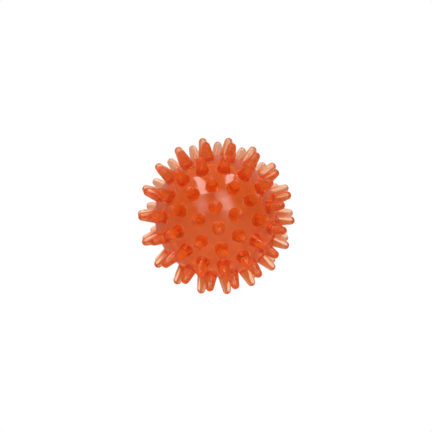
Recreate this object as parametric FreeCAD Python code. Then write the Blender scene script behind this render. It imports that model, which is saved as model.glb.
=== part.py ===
import FreeCAD, Part

import math
import os

# A hollow, air-filled massage ball of soft PVC, covered with solid spikes, standing on a flat surface.
# The spikes sit in rows round one pole axis, which lies level along Y: the front pole is at -Y and
# carries a spike, and the back pole is at +Y and carries the air valve with its stopper.
# The origin is on the surface the ball stands on, below the ball's centre. +Z is up, units are mm.

# Driving dimensions: the moulded skin
BALL_RADIUS = 35.0  # from the centre to the tip of a spike
CORE_RADIUS = 27.0  # outside of the skin, where the spikes begin
WALL = 5.0  # thickness of the skin between the spikes
SEAM_WIDTH = 0.6  # the band where the two halves of the moulding join
SEAM_BEAD = 0.2  # how far that band stands proud of the skin, outside and inside

# Driving dimensions: the spikes, which are straight cones with round tips
SPIKE_BASE_RADIUS = 3.0
SPIKE_TIP_RADIUS = 1.8
SPIKE_ROOT = 1.0  # how deep a spike is drawn below the skin before it is trimmed to it
ROW_STEP = 20.0  # degrees between rows, counted from the pole
ROW_COUNTS = (6, 12, 16, 18)  # spikes in each row, from the pole to the parting line
ROW_STARTS = (-9.1, -9.1, -16.8, -9.1)  # degrees from straight up to a row's first spike
TURNOVER_ANGLE = 60.0  # the back half is the front half turned over about an axis at this angle from up

# Driving dimensions: the air valve at the back pole, as heights from the ball's centre and radii
VALVE_BARREL_RADIUS = 3.5  # through the skin
VALVE_COLLAR_RADIUS = 4.6  # outside and inside the skin
VALVE_COLLAR_TOP = 27.9
VALVE_COLLAR_ROUND = 0.6  # rounding of the collar's outer edge
VALVE_FLANGE_LOW = 20.1
VALVE_STEM_RADIUS = 2.6
VALVE_STEM_LOW = 15.5
VALVE_BORE_RADIUS = 1.25
VALVE_RECESS_RADIUS = 2.7  # the seat of the stopper's head
VALVE_RECESS_FLOOR = 27.05
PIN_CLEARANCE = 0.05  # between the stopper's pin and the bore
HEAD_CLEARANCE = 0.1  # between the stopper's head and its seat
SEAT_GAP = 0.05  # under the stopper's head
STOPPER_LOW = 19.0
STOPPER_CHAMFER = 0.4
STOPPER_HEAD_SIDE = 1.0  # height of the head's straight side
STOPPER_HEAD_DOME = 0.35  # rise of the head's domed top

# Worked out from them
ORIGIN = FreeCAD.Vector(0, 0, 0)
UP = FreeCAD.Vector(0, 0, 1)
INNER_RADIUS = CORE_RADIUS - WALL
TIP_CENTRE = BALL_RADIUS - SPIKE_TIP_RADIUS


def standing_height():
    """Height of the ball's centre: the ball stands on the lowest spikes of the rows by the parting line."""
    last_row = ROW_STEP * len(ROW_COUNTS)
    out = TIP_CENTRE * math.sin(math.radians(last_row))
    lowest = out * math.cos(math.radians(ROW_STARTS[-1]))
    return lowest + SPIKE_TIP_RADIUS


CENTRE = FreeCAD.Vector(0, 0, standing_height())


def section_point(point):
    """A point of a half section, given as (radius, height), in the XZ plane."""
    radius, height = point
    return FreeCAD.Vector(radius, 0, height)


def line(start, end):
    return Part.LineSegment(section_point(start), section_point(end)).toShape()


def arc(start, middle, end):
    return Part.Arc(section_point(start), section_point(middle), section_point(end)).toShape()


def on_sphere(sphere_radius, radius):
    """The point of a sphere's half section at this distance from the axis."""
    return (radius, math.sqrt(sphere_radius**2 - radius**2))


def sphere_arc(sphere_radius, start_radius, end_radius):
    """The arc of a sphere's half section between two distances from the axis."""
    start = on_sphere(sphere_radius, start_radius)
    end = on_sphere(sphere_radius, end_radius)
    middle_angle = (math.atan2(start[0], start[1]) + math.atan2(end[0], end[1])) / 2
    middle = (sphere_radius * math.sin(middle_angle), sphere_radius * math.cos(middle_angle))
    return arc(start, middle, end)


def turned(edges):
    """A solid turned about the Z axis from the closed outline of its half section."""
    return Part.Face(Part.Wire(edges)).revolve(ORIGIN, UP, 360)


def pointing(shape, direction):
    """A copy of a shape drawn along +Z from the ball's centre, pointing in this direction instead."""
    placed = shape.copy()
    placed.Placement = FreeCAD.Placement(CENTRE, FreeCAD.Rotation(UP, direction))
    return placed


def direction(from_pole, from_up, side):
    """The unit vector at these angles in degrees. side is -1 on the front half and +1 on the back half.
    from_pole counts from that half's pole, and from_up clockwise as seen from the front."""
    pole_angle = math.radians(from_pole)
    up_angle = math.radians(from_up)
    out = math.sin(pole_angle)
    return FreeCAD.Vector(out * math.sin(up_angle), side * math.cos(pole_angle), out * math.cos(up_angle))


FRONT = direction(0, 0, -1)
BACK = direction(0, 0, 1)


def half_skin(hole_radius):
    """Half of the hollow ball, from beside the seam to its pole, with a hole there if it has a radius."""
    seam_side = SEAM_WIDTH / 2
    outer_rim = math.sqrt(CORE_RADIUS**2 - seam_side**2)
    inner_rim = math.sqrt(INNER_RADIUS**2 - seam_side**2)
    return turned(
        [
            line(on_sphere(INNER_RADIUS, hole_radius), on_sphere(CORE_RADIUS, hole_radius)),
            sphere_arc(CORE_RADIUS, hole_radius, outer_rim),
            line(on_sphere(CORE_RADIUS, outer_rim), on_sphere(INNER_RADIUS, inner_rim)),
            sphere_arc(INNER_RADIUS, inner_rim, hole_radius),
        ]
    )


def seam_band():
    """The ring that joins the two halves, with a low rounded bead outside and inside."""
    side = SEAM_WIDTH / 2
    outer_rim = math.sqrt(CORE_RADIUS**2 - side**2)
    inner_rim = math.sqrt(INNER_RADIUS**2 - side**2)
    return turned(
        [
            line((inner_rim, -side), (outer_rim, -side)),
            arc((outer_rim, -side), (CORE_RADIUS + SEAM_BEAD, 0), (outer_rim, side)),
            line((outer_rim, side), (inner_rim, side)),
            arc((inner_rim, side), (INNER_RADIUS - SEAM_BEAD, 0), (inner_rim, -side)),
        ]
    )


def spike():
    """One solid spike along +Z: a cone from the skin that runs smoothly into a round tip."""
    base_radius, base_height = on_sphere(CORE_RADIUS, SPIKE_BASE_RADIUS)
    rise = TIP_CENTRE - base_height
    reach = math.hypot(base_radius, rise)
    # the cone's side touches the tip's sphere, so it leans in by this angle
    lean = math.acos(SPIKE_TIP_RADIUS / reach) - math.atan2(rise, base_radius)
    root_height = base_height - SPIKE_ROOT
    root_radius = base_radius + SPIKE_ROOT * math.tan(lean)
    touch_radius = SPIKE_TIP_RADIUS * math.cos(lean)
    touch_height = TIP_CENTRE + SPIKE_TIP_RADIUS * math.sin(lean)
    middle_angle = (lean + math.pi / 2) / 2
    round_middle = (
        SPIKE_TIP_RADIUS * math.cos(middle_angle),
        TIP_CENTRE + SPIKE_TIP_RADIUS * math.sin(middle_angle),
    )
    drawn = turned(
        [
            line((0, root_height), (root_radius, root_height)),
            line((root_radius, root_height), (touch_radius, touch_height)),
            arc((touch_radius, touch_height), round_middle, (0, BALL_RADIUS)),
            line((0, BALL_RADIUS), (0, root_height)),
        ]
    )
    return drawn.cut(Part.makeSphere(CORE_RADIUS))


def spike_row(shape, row, side):
    """One row of separate spikes on one half. The back half is the front half turned over."""
    count = ROW_COUNTS[row]
    from_pole = ROW_STEP * (row + 1)
    spikes = []
    for number in range(count):
        from_up = ROW_STARTS[row] + number * 360.0 / count
        if side > 0:
            from_up = 2 * TURNOVER_ANGLE - from_up
        spikes.append(pointing(shape, direction(from_pole, from_up, side)))
    return Part.makeCompound(spikes)


def valve_body():
    """The valve insert: a barrel through the skin between a collar and a flange, a stem and a bore."""
    barrel_in = on_sphere(INNER_RADIUS, VALVE_BARREL_RADIUS)
    barrel_out = on_sphere(CORE_RADIUS, VALVE_BARREL_RADIUS)
    flange_rim = on_sphere(INNER_RADIUS, VALVE_COLLAR_RADIUS)
    collar_rim = on_sphere(CORE_RADIUS, VALVE_COLLAR_RADIUS)
    round_low = (VALVE_COLLAR_RADIUS, VALVE_COLLAR_TOP - VALVE_COLLAR_ROUND)
    round_top = (VALVE_COLLAR_RADIUS - VALVE_COLLAR_ROUND, VALVE_COLLAR_TOP)
    round_step = VALVE_COLLAR_ROUND * (1 - math.sqrt(0.5))
    round_middle = (VALVE_COLLAR_RADIUS - round_step, VALVE_COLLAR_TOP - round_step)
    return turned(
        [
            line((VALVE_BORE_RADIUS, VALVE_STEM_LOW), (VALVE_STEM_RADIUS, VALVE_STEM_LOW)),
            line((VALVE_STEM_RADIUS, VALVE_STEM_LOW), (VALVE_STEM_RADIUS, VALVE_FLANGE_LOW)),
            line((VALVE_STEM_RADIUS, VALVE_FLANGE_LOW), (VALVE_COLLAR_RADIUS, VALVE_FLANGE_LOW)),
            line((VALVE_COLLAR_RADIUS, VALVE_FLANGE_LOW), flange_rim),
            sphere_arc(INNER_RADIUS, VALVE_COLLAR_RADIUS, VALVE_BARREL_RADIUS),
            line(barrel_in, barrel_out),
            sphere_arc(CORE_RADIUS, VALVE_BARREL_RADIUS, VALVE_COLLAR_RADIUS),
            line(collar_rim, round_low),
            arc(round_low, round_middle, round_top),
            line(round_top, (VALVE_RECESS_RADIUS, VALVE_COLLAR_TOP)),
            line((VALVE_RECESS_RADIUS, VALVE_COLLAR_TOP), (VALVE_RECESS_RADIUS, VALVE_RECESS_FLOOR)),
            line((VALVE_RECESS_RADIUS, VALVE_RECESS_FLOOR), (VALVE_BORE_RADIUS, VALVE_RECESS_FLOOR)),
            line((VALVE_BORE_RADIUS, VALVE_RECESS_FLOOR), (VALVE_BORE_RADIUS, VALVE_STEM_LOW)),
        ]
    )


def valve_stopper():
    """The stopper: a pin that fills the valve's bore, under a low domed head that sits in its recess."""
    pin_radius = VALVE_BORE_RADIUS - PIN_CLEARANCE
    head_radius = VALVE_RECESS_RADIUS - HEAD_CLEARANCE
    head_low = VALVE_RECESS_FLOOR + SEAT_GAP
    side_top = head_low + STOPPER_HEAD_SIDE
    dome_radius = (head_radius**2 + STOPPER_HEAD_DOME**2) / (2 * STOPPER_HEAD_DOME)
    dome_centre = side_top + STOPPER_HEAD_DOME - dome_radius
    dome_middle = math.asin(head_radius / dome_radius) / 2
    dome_point = (dome_radius * math.sin(dome_middle), dome_centre + dome_radius * math.cos(dome_middle))
    dome_top = (0, side_top + STOPPER_HEAD_DOME)
    return turned(
        [
            line((0, STOPPER_LOW), (pin_radius - STOPPER_CHAMFER, STOPPER_LOW)),
            line((pin_radius - STOPPER_CHAMFER, STOPPER_LOW), (pin_radius, STOPPER_LOW + STOPPER_CHAMFER)),
            line((pin_radius, STOPPER_LOW + STOPPER_CHAMFER), (pin_radius, head_low)),
            line((pin_radius, head_low), (head_radius, head_low)),
            line((head_radius, head_low), (head_radius, side_top)),
            arc((head_radius, side_top), dome_point, dome_top),
            line(dome_top, (0, STOPPER_LOW)),
        ]
    )


def save(node, shape):
    shape.exportStep(os.path.join("parts", node + ".step"))


os.makedirs("parts", exist_ok=True)

save("front_half_skin", pointing(half_skin(0), FRONT))
save("back_half_skin", pointing(half_skin(VALVE_BARREL_RADIUS), BACK))
save("parting_seam", pointing(seam_band(), BACK))

one_spike = spike()
save("front_pole_spike", pointing(one_spike, FRONT))
for row in range(len(ROW_COUNTS)):
    save(f"front_spikes_row_{row + 1}", spike_row(one_spike, row, -1))
    save(f"back_spikes_row_{row + 1}", spike_row(one_spike, row, 1))

save("valve_body", pointing(valve_body(), BACK))
save("valve_stopper", pointing(valve_stopper(), BACK))
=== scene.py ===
import math

import bmesh
import bpy
from mathutils import Matrix, Vector, noise


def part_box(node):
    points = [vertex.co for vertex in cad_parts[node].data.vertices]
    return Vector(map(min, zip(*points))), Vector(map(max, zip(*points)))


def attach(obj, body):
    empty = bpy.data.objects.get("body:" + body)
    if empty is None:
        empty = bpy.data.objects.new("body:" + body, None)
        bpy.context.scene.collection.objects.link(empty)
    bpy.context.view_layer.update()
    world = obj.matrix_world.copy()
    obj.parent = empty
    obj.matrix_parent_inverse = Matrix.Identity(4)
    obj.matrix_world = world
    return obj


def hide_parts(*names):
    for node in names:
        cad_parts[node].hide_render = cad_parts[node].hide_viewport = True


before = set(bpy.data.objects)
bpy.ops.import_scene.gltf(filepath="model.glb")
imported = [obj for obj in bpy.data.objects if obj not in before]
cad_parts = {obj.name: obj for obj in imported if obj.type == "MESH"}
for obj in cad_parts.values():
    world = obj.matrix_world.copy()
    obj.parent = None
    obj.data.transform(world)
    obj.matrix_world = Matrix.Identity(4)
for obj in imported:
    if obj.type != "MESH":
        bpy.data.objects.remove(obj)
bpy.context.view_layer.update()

# A hollow massage ball of soft orange PVC with solid spikes, standing on a white light table.
# Lengths are in metres and angles in degrees unless a name says otherwise.

MM = 0.001

# ---------------------------------------------------------------------------------------------
# Sizes, read from the frame where it has them
# ---------------------------------------------------------------------------------------------

seam_low, seam_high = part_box("parting_seam")
skin_low, skin_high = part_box("front_half_skin")
pole_low, pole_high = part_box("front_pole_spike")

CENTRE = (seam_low + seam_high) / 2
CORE_RADIUS = (skin_high.x - skin_low.x) / 2
BALL_RADIUS = CENTRE.y - pole_low.y
SPIKE_BASE_RADIUS = (pole_high.x - pole_low.x) / 2
SEAM_HALF_WIDTH = (seam_high.y - seam_low.y) / 2
SEAM_BEAD = (seam_high.x - seam_low.x) / 2 - CORE_RADIUS

WALL = 5.0 * MM  # thickness of the skin between the spikes
INNER_RADIUS = CORE_RADIUS - WALL
SPIKE_TIP_RADIUS = 1.8 * MM
SPIKE_FOOT_ROUND = 0.35 * MM  # the moulded radius where a spike runs into the skin
VALVE_HOLE_RADIUS = 3.52 * MM  # in the skin, a hair wider than the valve's barrel
SKIN_WAVE = 0.05 * MM  # how far the soft outer skin strays from a true sphere
SKIN_WAVES_PER_RADIUS = 4.0
INNER_WAVE = 0.12 * MM  # the same for the inner face, which no mould touches
INNER_WAVES_PER_RADIUS = 3.0
INNER_WAVE_PLACE = Vector((5, 1, 2))  # another part of the noise than the outer skin's
SINK_DEPTH = 0.35 * MM  # of the mark that a spike's thick foot leaves inside as it cools
SINK_RADIUS = 2.2 * MM

# Mesh fineness
SPIKE_SIDES = 36
FOOT_STEPS = 4  # along the rounding of a spike's foot
CONE_STEPS = 7  # along its straight side
TIP_STEPS = 8  # over its round tip
FILL_SPACING = 0.85 * MM  # between the skin's points away from spikes and seam
FILL_GAP = 0.6 * FILL_SPACING  # the least space between those points and a ring of others
APRON = 0.4 * MM  # a ring of points this far outside each spike's foot
SEAM_SIDES = 360
SEAM_ROWS = [-1.8, -1.0, -0.6, 0.0, 0.6, 1.0, 1.8]  # rings of points, in half widths of the seam
HOLE_SIDES = 2 * SPIKE_SIDES

SPIKE_NODES = ["front_pole_spike"]
SPIKE_NODES += [f"{half}_spikes_row_{row}" for half in ("front", "back") for row in range(1, 5)]
SKIN_NODES = ["front_half_skin", "back_half_skin", "parting_seam"] + SPIKE_NODES


# ---------------------------------------------------------------------------------------------
# Small helpers
# ---------------------------------------------------------------------------------------------


def linear(hex_colour):
    """An sRGB hex colour as linear red, green, blue and alpha."""
    colour = []
    for i in (1, 3, 5):
        channel = int(hex_colour[i : i + 2], 16) / 255
        if channel <= 0.04045:
            colour.append(channel / 12.92)
        else:
            colour.append(((channel + 0.055) / 1.055) ** 2.4)
    return colour + [1.0]


def add_node(tree, kind, links=(), **settings):
    """Adds a node. Each link is (output socket, input name). Settings name the node's attributes, but for
    inputs, a dict of input names and values."""
    node = tree.nodes.new(kind)
    for name, value in settings.pop("inputs", {}).items():
        node.inputs[name].default_value = value
    for name, value in settings.items():
        setattr(node, name, value)
    for source, name in links:
        tree.links.new(source, node.inputs[name])
    return node


def new_material(name):
    """A material with an empty node tree."""
    material = bpy.data.materials.new(name)
    material.use_nodes = True
    material.node_tree.nodes.clear()
    return material


def mesh_object(name, mesh, material):
    """A smooth-shaded object in the scene, from a mesh and its material."""
    piece = bpy.data.objects.new(name, mesh)
    bpy.context.scene.collection.objects.link(piece)
    mesh.materials.append(material)
    for polygon in mesh.polygons:
        polygon.use_smooth = True
    return piece


def island_tips(node):
    """The direction of each separate spike of a CAD node, from the ball's centre to its tip."""
    mesh = bmesh.new()
    mesh.from_mesh(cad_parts[node].data)
    bmesh.ops.remove_doubles(mesh, verts=mesh.verts, dist=1e-6)
    unseen = set(mesh.verts)
    tips = []
    for start in mesh.verts:  # in the mesh's own order, so that each run finds them in the same one
        if start not in unseen:
            continue
        unseen.remove(start)
        stack = [start]
        island = []
        while stack:
            vertex = stack.pop()
            island.append(vertex)
            for edge in vertex.link_edges:
                other = edge.other_vert(vertex)
                if other in unseen:
                    unseen.remove(other)
                    stack.append(other)
        tip = max((v.co - CENTRE for v in island), key=lambda offset: offset.length)
        tips.append(tip.normalized())
    mesh.free()
    return tips


def across(direction):
    """Two unit vectors square to a direction and to each other."""
    helper = Vector((0, 0, 1)) if abs(direction.z) < 0.9 else Vector((1, 0, 0))
    first = direction.cross(helper).normalized()
    return first, direction.cross(first)


def ring(direction, radius, height, sides):
    """Points of a circle round an axis from the ball's centre, given by its radius and height."""
    first, second = across(direction)
    points = []
    for i in range(sides):
        turn = 2 * math.pi * i / sides
        outward = first * math.cos(turn) + second * math.sin(turn)
        points.append(direction * height + outward * radius)
    return points


# ---------------------------------------------------------------------------------------------
# The moulded skin: one closed mesh, outer face with spikes and seam, inner face with sink marks
# ---------------------------------------------------------------------------------------------


def spike_profile():
    """(radius, height) points of a spike's side, from its foot on the skin to just short of its tip:
    a small moulded radius, a straight cone and a round tip."""
    base_height = math.sqrt(CORE_RADIUS**2 - SPIKE_BASE_RADIUS**2)
    tip_centre = BALL_RADIUS - SPIKE_TIP_RADIUS
    rise = tip_centre - base_height
    reach = math.hypot(SPIKE_BASE_RADIUS, rise)
    # the cone's side touches the tip's sphere, so it leans in by this angle
    lean = math.acos(SPIKE_TIP_RADIUS / reach) - math.atan2(rise, SPIKE_BASE_RADIUS)
    cos_lean = math.cos(lean)
    sin_lean = math.sin(lean)
    # centre of the foot's rounding: it touches the core's sphere and the cone's side from outside
    off_cone = SPIKE_BASE_RADIUS * cos_lean + base_height * sin_lean + SPIKE_FOOT_ROUND
    along = math.sqrt((CORE_RADIUS + SPIKE_FOOT_ROUND) ** 2 - off_cone**2)
    round_radius = off_cone * cos_lean - along * sin_lean
    round_height = off_cone * sin_lean + along * cos_lean
    start = math.atan2(-round_height, -round_radius)
    end = math.atan2(-sin_lean, -cos_lean)
    points = []
    for i in range(FOOT_STEPS + 1):
        angle = start + (end - start) * i / FOOT_STEPS
        radius = round_radius + SPIKE_FOOT_ROUND * math.cos(angle)
        height = round_height + SPIKE_FOOT_ROUND * math.sin(angle)
        points.append((radius, height))
    low_radius, low_height = points[-1]
    high_radius = SPIKE_TIP_RADIUS * cos_lean
    high_height = tip_centre + SPIKE_TIP_RADIUS * sin_lean
    for i in range(1, CONE_STEPS):
        share = i / CONE_STEPS
        radius = low_radius + (high_radius - low_radius) * share
        height = low_height + (high_height - low_height) * share
        points.append((radius, height))
    for i in range(TIP_STEPS):
        angle = lean + (math.pi / 2 - lean) * i / TIP_STEPS
        radius = SPIKE_TIP_RADIUS * math.cos(angle)
        height = tip_centre + SPIKE_TIP_RADIUS * math.sin(angle)
        points.append((radius, height))
    return points


def even_points(count):
    """Evenly spread directions, by the golden angle."""
    golden = math.pi * (3 - math.sqrt(5))
    points = []
    for i in range(count):
        height = 1 - (2 * i + 1) / count
        out = math.sqrt(1 - height**2)
        points.append(Vector((out * math.cos(golden * i), out * math.sin(golden * i), height)))
    return points


def hull_faces(points):
    """The triangles of a closed surface through points that lie near a sphere, as index triples."""
    mesh = bmesh.new()
    index_of = {}
    for i, point in enumerate(points):
        index_of[mesh.verts.new(point)] = i
    result = bmesh.ops.convex_hull(mesh, input=mesh.verts, use_existing_faces=False)
    faces = []
    for item in result["geom"]:
        if isinstance(item, bmesh.types.BMFace):
            faces.append([index_of[vertex] for vertex in item.verts])
    mesh.free()
    return faces


def skin_shape(direction):
    """How far the outer skin stands from a true sphere in a direction: the soft moulding's faint waves."""
    return SKIN_WAVE * noise.noise(direction * SKIN_WAVES_PER_RADIUS)


def add_triangle(mesh, corners, outward):
    """A face of three corners, turned to face away from the ball's centre or, if not outward, toward it."""
    normal = (corners[1].co - corners[0].co).cross(corners[2].co - corners[0].co)
    if (normal.dot(corners[0].co - CENTRE) > 0) != outward:
        corners.reverse()
    mesh.faces.new(corners)


def build_outer(mesh, spikes):
    """The outer face: spikes, the skin between them, the seam's bead and the valve's hole."""
    profile = spike_profile()
    foot_radius, foot_height = profile[0]
    foot_angle = math.atan2(foot_radius, foot_height)
    apron_angle = foot_angle + APRON / CORE_RADIUS
    clear_angle = apron_angle + FILL_GAP / CORE_RADIUS
    hole_angle = math.asin(VALVE_HOLE_RADIUS / CORE_RADIUS)
    back = Vector((0, 1, 0))

    points = []  # all of them on a true unit sphere, so that their hull joins every one
    owner = []  # which spike's foot a point is on, or None
    for number, spike in enumerate(spikes):
        points += ring(spike, math.sin(foot_angle), math.cos(foot_angle), SPIKE_SIDES)
        owner += [number] * SPIKE_SIDES
        points += ring(spike, math.sin(apron_angle), math.cos(apron_angle), SPIKE_SIDES)
        owner += [None] * SPIKE_SIDES
    hole = len(spikes)
    points += ring(back, math.sin(hole_angle), math.cos(hole_angle), HOLE_SIDES)
    owner += [hole] * HOLE_SIDES
    for row in SEAM_ROWS:
        height = row * SEAM_HALF_WIDTH / CORE_RADIUS
        points += ring(back, math.sqrt(1 - height**2), height, SEAM_SIDES)
        owner += [None] * SEAM_SIDES
    seam_clear = (SEAM_ROWS[-1] * SEAM_HALF_WIDTH + FILL_GAP) / CORE_RADIUS
    cos_clear = math.cos(clear_angle)
    cos_hole = math.cos(hole_angle + FILL_GAP / CORE_RADIUS)
    fill_count = int(4 * math.pi * CORE_RADIUS**2 / FILL_SPACING**2)
    for point in even_points(fill_count):
        if abs(point.y) < seam_clear or point.dot(back) > cos_hole:
            continue
        if max(point.dot(spike) for spike in spikes) > cos_clear:
            continue
        points.append(point)
        owner.append(None)

    def place(point):
        bead = max(0.0, 1 - (point.y * CORE_RADIUS / SEAM_HALF_WIDTH) ** 2) * SEAM_BEAD
        return CENTRE + point * (CORE_RADIUS + bead + skin_shape(point))

    verts = [mesh.verts.new(place(p)) for p in points]
    for face in hull_faces(points):
        owners = {owner[i] for i in face}
        if len(owners) == 1 and None not in owners:
            continue
        add_triangle(mesh, [verts[i] for i in face], outward=True)

    for number, spike in enumerate(spikes):
        first = number * 2 * SPIKE_SIDES
        lower = verts[first : first + SPIKE_SIDES]
        for radius, height in profile[1:]:
            upper = [mesh.verts.new(CENTRE + p) for p in ring(spike, radius, height, SPIKE_SIDES)]
            for i in range(SPIKE_SIDES):
                j = (i + 1) % SPIKE_SIDES
                mesh.faces.new([lower[i], lower[j], upper[j], upper[i]])
            lower = upper
        tip = mesh.verts.new(CENTRE + spike * BALL_RADIUS)
        for i in range(SPIKE_SIDES):
            mesh.faces.new([lower[i], lower[(i + 1) % SPIKE_SIDES], tip])
    first = len(spikes) * 2 * SPIKE_SIDES
    return verts[first : first + HOLE_SIDES]


def build_inner(mesh, spikes):
    """The inner face of the wall, with a shallow sink mark under each spike."""
    back = Vector((0, 1, 0))
    hole_angle = math.asin(VALVE_HOLE_RADIUS / INNER_RADIUS)
    points = ring(back, math.sin(hole_angle), math.cos(hole_angle), HOLE_SIDES)
    cos_hole = math.cos(hole_angle + FILL_GAP / INNER_RADIUS)
    fill_count = int(4 * math.pi * INNER_RADIUS**2 / FILL_SPACING**2)
    points += [p for p in even_points(fill_count) if p.dot(back) < cos_hole]

    def place(point):
        nearest = max(point.dot(spike) for spike in spikes)
        off_axis = math.acos(min(1.0, nearest)) * INNER_RADIUS
        sink = SINK_DEPTH * math.exp(-((off_axis / SINK_RADIUS) ** 2))
        wave = INNER_WAVE * noise.noise(point * INNER_WAVES_PER_RADIUS + INNER_WAVE_PLACE)
        return CENTRE + point * (INNER_RADIUS + sink + wave)

    verts = [mesh.verts.new(place(p)) for p in points]
    for face in hull_faces(points):
        if max(face) >= HOLE_SIDES:  # the faces on the rim's own points would close the hole
            add_triangle(mesh, [verts[i] for i in face], outward=False)
    return verts[:HOLE_SIDES]


def moulded_skin(material):
    """The whole moulded skin as one closed mesh, with the rims of its two faces joined in the hole."""
    spikes = [tip for node in SPIKE_NODES for tip in island_tips(node)]
    mesh = bmesh.new()
    outer_rim = build_outer(mesh, spikes)
    inner_rim = build_inner(mesh, spikes)
    for i in range(HOLE_SIDES):
        j = (i + 1) % HOLE_SIDES
        mesh.faces.new([outer_rim[j], outer_rim[i], inner_rim[i], inner_rim[j]])
    bmesh.ops.recalc_face_normals(mesh, faces=mesh.faces)
    data = bpy.data.meshes.new("moulded_skin")
    mesh.to_mesh(data)
    mesh.free()
    skin = mesh_object("moulded_skin", data, material)
    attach(skin, "ball")
    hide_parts(*SKIN_NODES)


# ---------------------------------------------------------------------------------------------
# Materials
# ---------------------------------------------------------------------------------------------

PVC_IOR = 1.53

# The clear orange PVC. Inner and outer are the two faces of its wall.
FACES_PART = 0.3, 0.6  # shares of the wall, between which the inner face's looks give way to the outer's
INNER_ROUGH = 0.30
OUTER_ROUGH = 0.08
INNER_CLOUD = 0.36  # share of the light that the dyed PVC scatters at a face
OUTER_CLOUD = 0.23
INNER_DYE = "#FF8C1C"  # the colour of that light
OUTER_DYE = "#F88C24"
FRONT_LIT_SHARE = 0.5  # of it, what goes back to the side it came from; the rest goes on through
TAKEN_PER_METRE = (4.0, 102.0, 200.0)  # how fast the PVC takes red, green and blue light out
TAKEN_AT_MOST = 400.0  # the volume's density; it takes that times what its colour lacks
RIPPLE_WIDTH = 3.85 * MM  # the soft unevenness of the moulded face
RIPPLE_DEPTH = 0.2 * MM
RIPPLE_SHARE = 0.12  # of that depth, what shows
RIPPLE_DETAIL = 3.0
RIPPLE_FINE_SHARE = 0.55  # how strong each finer ripple is against the one before it

# The milky PVC of the valve
GRAIN_WIDTH = 0.25 * MM  # left by the spark-eroded mould
GRAIN_DEPTH = 0.01 * MM
GRAIN_SHARE = 0.08  # of that depth, what shows
GRAIN_DETAIL = 2.0
GRAIN_ROUGH = 0.24, 0.34  # from the grain's hollows to its tops


def soft_orange_pvc():
    """Soft PVC with a clear orange dye, moulded against polished steel outside and free inside. The
    outside is glossy and the inside slightly matt, so what is seen through the hollow core is soft. Each
    face scatters a share of the light as a faint cloud, and the colour deepens with the thickness of PVC
    that the light has passed."""
    material = new_material("moulded_clear_orange_soft_pvc")
    tree = material.node_tree
    place = add_node(tree, "ShaderNodeTexCoord")
    centred = add_node(
        tree,
        "ShaderNodeVectorMath",
        [(place.outputs["Object"], 0)],
        operation="SUBTRACT",
        inputs={1: CENTRE},
    )
    distance = add_node(tree, "ShaderNodeVectorMath", [(centred.outputs[0], 0)], operation="LENGTH")
    outward = add_node(
        tree,
        "ShaderNodeMapRange",
        [(distance.outputs["Value"], "Value")],
        inputs={
            "From Min": INNER_RADIUS + WALL * FACES_PART[0],
            "From Max": INNER_RADIUS + WALL * FACES_PART[1],
        },
    ).outputs["Result"]
    rough = add_node(
        tree, "ShaderNodeMix", [(outward, "Factor")], inputs={"A": INNER_ROUGH, "B": OUTER_ROUGH}
    )
    cloud_share = add_node(
        tree, "ShaderNodeMix", [(outward, "Factor")], inputs={"A": INNER_CLOUD, "B": OUTER_CLOUD}
    )
    dye = add_node(
        tree,
        "ShaderNodeMixRGB",
        [(outward, "Fac")],
        inputs={"Color1": linear(INNER_DYE), "Color2": linear(OUTER_DYE)},
    )
    ripple = add_node(
        tree,
        "ShaderNodeTexNoise",
        [(centred.outputs[0], "Vector")],
        inputs={"Scale": 1 / RIPPLE_WIDTH, "Detail": RIPPLE_DETAIL, "Roughness": RIPPLE_FINE_SHARE},
    )
    bump = add_node(
        tree,
        "ShaderNodeBump",
        [(ripple.outputs["Fac"], "Height")],
        inputs={"Strength": RIPPLE_SHARE, "Distance": RIPPLE_DEPTH},
    )
    clear = add_node(
        tree,
        "ShaderNodeBsdfPrincipled",
        [(rough.outputs["Result"], "Roughness"), (bump.outputs["Normal"], "Normal")],
        inputs={"Base Color": linear("#FFFFFF"), "IOR": PVC_IOR, "Transmission Weight": 1.0},
    )
    back_lit = add_node(tree, "ShaderNodeBsdfTranslucent", [(dye.outputs["Color"], "Color")])
    front_lit = add_node(tree, "ShaderNodeBsdfDiffuse", [(dye.outputs["Color"], "Color")])
    cloud = add_node(
        tree,
        "ShaderNodeMixShader",
        [(back_lit.outputs[0], 1), (front_lit.outputs[0], 2)],
        inputs={0: FRONT_LIT_SHARE},
    )
    gel = add_node(
        tree,
        "ShaderNodeMixShader",
        [(cloud_share.outputs["Result"], 0), (clear.outputs[0], 1), (cloud.outputs[0], 2)],
    )
    depth_colour = [1 - taken / TAKEN_AT_MOST for taken in TAKEN_PER_METRE] + [1.0]
    depth = add_node(
        tree, "ShaderNodeVolumeAbsorption", inputs={"Color": depth_colour, "Density": TAKEN_AT_MOST}
    )
    add_node(
        tree,
        "ShaderNodeOutputMaterial",
        [(gel.outputs[0], "Surface"), (depth.outputs["Volume"], "Volume")],
    )
    return material


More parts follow.
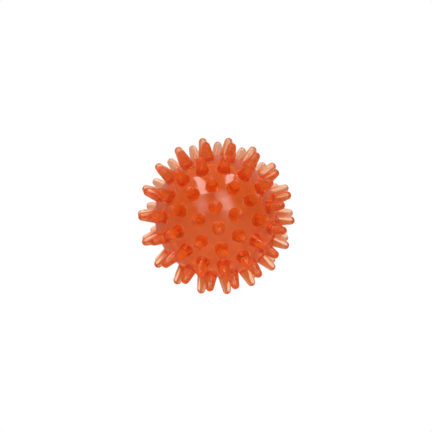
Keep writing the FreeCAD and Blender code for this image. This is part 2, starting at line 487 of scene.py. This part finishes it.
def milky_pvc(name, hex_colour, clearness):
    """Soft PVC with a white filler, moulded: a share of the light goes in, so it looks soft and a little
    see-through, and a fine grain from the mould takes the edge off its gloss."""
    material = new_material(name)
    tree = material.node_tree
    place = add_node(tree, "ShaderNodeTexCoord")
    grain = add_node(
        tree,
        "ShaderNodeTexNoise",
        [(place.outputs["Object"], "Vector")],
        inputs={"Scale": 1 / GRAIN_WIDTH, "Detail": GRAIN_DETAIL},
    )
    bump = add_node(
        tree,
        "ShaderNodeBump",
        [(grain.outputs["Fac"], "Height")],
        inputs={"Strength": GRAIN_SHARE, "Distance": GRAIN_DEPTH},
    )
    gloss = add_node(
        tree,
        "ShaderNodeMapRange",
        [(grain.outputs["Fac"], "Value")],
        inputs={"To Min": GRAIN_ROUGH[0], "To Max": GRAIN_ROUGH[1]},
    )
    shader = add_node(
        tree,
        "ShaderNodeBsdfPrincipled",
        [(bump.outputs["Normal"], "Normal"), (gloss.outputs["Result"], "Roughness")],
        inputs={"Base Color": linear(hex_colour), "IOR": PVC_IOR, "Transmission Weight": clearness},
    )
    add_node(tree, "ShaderNodeOutputMaterial", [(shader.outputs["BSDF"], "Surface")])
    return material


# ---------------------------------------------------------------------------------------------
# Stage: a white light table, a bright room with umbrellas, two strip boxes overhead and the camera
# ---------------------------------------------------------------------------------------------

CAMERA_AZIMUTH = -2.56
CAMERA_ELEVATION = 11.4
CAMERA_ROLL = 1.08
CAMERA_DISTANCE = 1.107
CAMERA_NEAREST = 0.01  # what is closer than this isn't drawn
VIEW_WIDTH = 0.1913  # what the camera sees across the ball's centre
SENSOR_WIDTH = 36.0  # in mm

# How bright each thing is: as light that falls into the ball, and as gloss that is mirrored in its
# outer face. 1 is the plain white that the camera sees of the room and the table.
ROOM_LIGHT = 1.0
ROOM_GLOSS = 0.1
CLOTH_LIGHT = 0.75  # the white cloth behind the ball
CLOTH_GLOSS = 0.6
CLOTH_LIGHT_FROM = 0.4, 0.85  # how far to the back a direction points where the cloth begins and is full
CLOTH_GLOSS_FROM = -0.1, 0.5

TABLE_RADIUS = 4.0
TABLE_SIDES = 96
TABLE_LIGHT = 1.22  # beside the ball
TABLE_FAR_LIGHT = 0.62
TABLE_NEAR = 0.05  # it falls off between these distances
TABLE_FAR = 0.16
TABLE_GLOSS = 0.3

UMBRELLAS = [  # azimuth, elevation, degrees from its middle to its edge, and radiance
    (-40, 36, 16, 2.4),
    (-28, 24, 16, 2.0),
    (14, 48, 16, 3.2),
    (20, 34, 16, 4.4),
    (26, 18, 20, 2.4),
    (0, 12, 55, 0.35),  # not an umbrella, but the broad pale wall behind the camera
]
UMBRELLA_HEART = 2  # an umbrella is at its full radiance this many degrees round its middle
UMBRELLA_FALL = 0.8  # share of its gloss that also falls into the ball

STRIP_BOXES = [  # name, place to the right and to the back, width, length
    ("strip_box_left", -0.47, -0.20, 0.26, 0.95),
    ("strip_box_right", 0.34, -0.03, 0.20, 0.50),
]
STRIP_HEIGHT = 1.0  # above the ball's centre
STRIP_RADIANCE = 7.0
STRIP_DIFFUSE = 1.3  # how strongly it lights what scatters, against what mirrors it
STRIP_THROUGH = 0.6  # and how strongly it shines through clear PVC

LIGHT_BOUNCES = 32  # enough for light to cross the wall and its spikes many times
GLOSS_BOUNCES = 8


def toward(azimuth, elevation):
    """The direction from the ball to a place round it. Azimuth 0 is the front, to the right from there."""
    azimuth = math.radians(azimuth)
    elevation = math.radians(elevation)
    return Vector(
        (
            math.sin(azimuth) * math.cos(elevation),
            -math.cos(azimuth) * math.cos(elevation),
            math.sin(elevation),
        )
    )


def add_camera():
    """The camera, aimed at the ball's centre and rolled a little about its line of sight."""
    data = bpy.data.cameras.new("camera")
    data.sensor_width = SENSOR_WIDTH
    data.lens = SENSOR_WIDTH * CAMERA_DISTANCE / VIEW_WIDTH
    data.clip_start = CAMERA_NEAREST
    camera = bpy.data.objects.new("camera", data)
    bpy.context.scene.collection.objects.link(camera)
    direction = toward(CAMERA_AZIMUTH, CAMERA_ELEVATION)
    camera.location = CENTRE + direction * CAMERA_DISTANCE
    upright = direction.to_track_quat("Z", "Y").to_matrix().to_4x4()
    roll = Matrix.Rotation(math.radians(CAMERA_ROLL), 4, "Z")
    camera.rotation_euler = (upright @ roll).to_euler()
    bpy.context.scene.camera = camera


def strip_box(name, right, back, width, length):
    """A long soft box that hangs level above the ball and shines down. Its power is worked out from its
    radiance and size."""
    data = bpy.data.lights.new(name, "AREA")
    data.shape = "RECTANGLE"
    data.size = width
    data.size_y = length
    data.energy = STRIP_RADIANCE * width * length * math.pi
    data.diffuse_factor = STRIP_DIFFUSE
    data.transmission_factor = STRIP_THROUGH
    lamp = bpy.data.objects.new(name, data)
    bpy.context.scene.collection.objects.link(lamp)
    lamp.location = CENTRE + Vector((right, back, STRIP_HEIGHT))


def seen_light(tree, falling, mirrored):
    """A socket for how bright the room or the table is: plain white to the camera, the mirrored light in
    the ball's gloss, and the falling light in all else."""
    path = add_node(tree, "ShaderNodeLightPath")
    in_gloss = add_node(
        tree,
        "ShaderNodeMath",
        [(path.outputs["Is Glossy Ray"], 0), (path.outputs["Is Transmission Ray"], 1)],
        operation="SUBTRACT",
        use_clamp=True,
    )
    light = add_node(
        tree, "ShaderNodeMix", [(in_gloss.outputs[0], "Factor"), (falling, "A"), (mirrored, "B")]
    )
    white = add_node(
        tree,
        "ShaderNodeMix",
        [(path.outputs["Is Camera Ray"], "Factor"), (light.outputs["Result"], "A")],
        inputs={"B": 1.0},
    )
    return white.outputs["Result"]


def light_table():
    """A white floor that glows as a translucent table lit from below, brightest round the ball."""
    bpy.ops.mesh.primitive_circle_add(vertices=TABLE_SIDES, radius=TABLE_RADIUS, fill_type="NGON")
    floor = bpy.context.object
    floor.name = "light_table"
    material = new_material("white_acrylic_light_table")
    tree = material.node_tree
    place = add_node(tree, "ShaderNodeTexCoord")
    away = add_node(tree, "ShaderNodeVectorMath", [(place.outputs["Object"], 0)], operation="LENGTH")
    falling = add_node(
        tree,
        "ShaderNodeMapRange",
        [(away.outputs["Value"], "Value")],
        interpolation_type="SMOOTHSTEP",
        inputs={
            "From Min": TABLE_NEAR,
            "From Max": TABLE_FAR,
            "To Min": TABLE_LIGHT,
            "To Max": TABLE_FAR_LIGHT,
        },
    )
    mirrored = add_node(tree, "ShaderNodeValue")
    mirrored.outputs[0].default_value = TABLE_GLOSS
    strength = seen_light(tree, falling.outputs["Result"], mirrored.outputs[0])
    glow = add_node(tree, "ShaderNodeEmission", [(strength, "Strength")])
    add_node(tree, "ShaderNodeOutputMaterial", [(glow.outputs[0], "Surface")])
    floor.data.materials.append(material)


def studio_air():
    """The light of the room: nearly even all round as it falls into the ball, but in the gloss dark on
    the camera's side, with the white cloth behind and the umbrellas in it."""
    world = bpy.data.worlds.new("studio")
    world.use_nodes = True
    tree = world.node_tree
    tree.nodes.clear()
    place = add_node(tree, "ShaderNodeTexCoord")
    parts = add_node(tree, "ShaderNodeSeparateXYZ", [(place.outputs["Generated"], "Vector")])
    falling = add_node(
        tree,
        "ShaderNodeMapRange",
        [(parts.outputs["Y"], "Value")],
        interpolation_type="SMOOTHSTEP",
        inputs={
            "From Min": CLOTH_LIGHT_FROM[0],
            "From Max": CLOTH_LIGHT_FROM[1],
            "To Min": ROOM_LIGHT,
            "To Max": CLOTH_LIGHT,
        },
    )
    mirrored = add_node(
        tree,
        "ShaderNodeMapRange",
        [(parts.outputs["Y"], "Value")],
        interpolation_type="SMOOTHSTEP",
        inputs={
            "From Min": CLOTH_GLOSS_FROM[0],
            "From Max": CLOTH_GLOSS_FROM[1],
            "To Min": ROOM_GLOSS,
            "To Max": CLOTH_GLOSS,
        },
    )
    dark = add_node(tree, "ShaderNodeValue")
    dark.outputs[0].default_value = 0.0
    umbrellas = dark.outputs[0]
    for azimuth, elevation, edge, radiance in UMBRELLAS:
        nearness = add_node(
            tree,
            "ShaderNodeVectorMath",
            [(place.outputs["Generated"], 0)],
            operation="DOT_PRODUCT",
            inputs={1: toward(azimuth, elevation)},
        )
        umbrella = add_node(
            tree,
            "ShaderNodeMapRange",
            [(nearness.outputs["Value"], "Value")],
            interpolation_type="SMOOTHSTEP",
            inputs={
                "From Min": math.cos(math.radians(edge)),
                "From Max": math.cos(math.radians(UMBRELLA_HEART)),
                "To Max": radiance,
            },
        )
        added = add_node(
            tree, "ShaderNodeMath", [(umbrellas, 0), (umbrella.outputs["Result"], 1)], operation="ADD"
        )
        umbrellas = added.outputs[0]
    mirrored_all = add_node(
        tree, "ShaderNodeMath", [(mirrored.outputs["Result"], 0), (umbrellas, 1)], operation="ADD"
    )
    falling_all = add_node(
        tree,
        "ShaderNodeMath",
        [(umbrellas, 0), (falling.outputs["Result"], 2)],
        operation="MULTIPLY_ADD",
        inputs={1: UMBRELLA_FALL},
    )
    strength = seen_light(tree, falling_all.outputs[0], mirrored_all.outputs[0])
    air = add_node(tree, "ShaderNodeBackground", [(strength, "Strength")])
    add_node(tree, "ShaderNodeOutputWorld", [(air.outputs[0], "Surface")])
    bpy.context.scene.world = world


def stage():
    """The floor, the lights, the camera, and as many bounces as clear PVC needs."""
    light_table()
    studio_air()
    for strip in STRIP_BOXES:
        strip_box(*strip)
    add_camera()
    scene = bpy.context.scene
    scene.view_settings.view_transform = "Standard"
    scene.cycles.max_bounces = LIGHT_BOUNCES
    scene.cycles.transmission_bounces = LIGHT_BOUNCES
    scene.cycles.glossy_bounces = GLOSS_BOUNCES
    scene.cycles.caustics_refractive = True
    scene.cycles.caustics_reflective = True


# ---------------------------------------------------------------------------------------------
# The whole
# ---------------------------------------------------------------------------------------------


def dress(node, material):
    """Gives a CAD piece that is kept its material."""
    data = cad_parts[node].data
    data.materials.clear()
    data.materials.append(material)


moulded_skin(soft_orange_pvc())
dress("valve_body", milky_pvc("moulded_orange_valve_pvc", "#FF8A48", clearness=0.25))
dress("valve_stopper", milky_pvc("moulded_white_stopper_pvc", "#F7F1E8", clearness=0.2))
stage()
